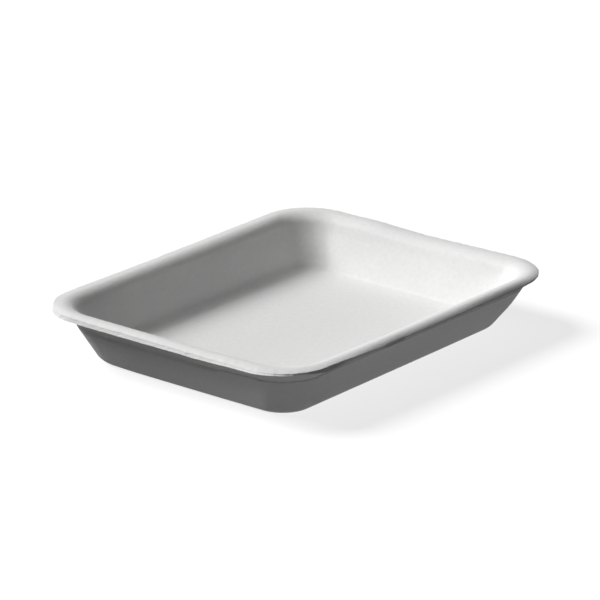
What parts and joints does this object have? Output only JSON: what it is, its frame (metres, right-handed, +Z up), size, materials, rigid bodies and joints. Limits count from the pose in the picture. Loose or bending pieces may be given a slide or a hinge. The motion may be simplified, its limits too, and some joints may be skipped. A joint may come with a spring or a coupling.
{
  "type": "foam meat tray",
  "caption": "Shallow rectangular food tray of white foam with sloping walls, round corners and a narrow rolled lip.",
  "frame": {"origin": "middle of the underside, in the plane that the tray stands on", "axes": "+X along the tray's length, +Y across it, +Z up out of its open side"},
  "size_m": [0.222, 0.1694, 0.031],
  "materials": {
    "foam": "matt white expanded polystyrene with a fine grain"
  },
  "bodies": {
    "root": {"tray": "foam"}
  },
  "joints": []
}
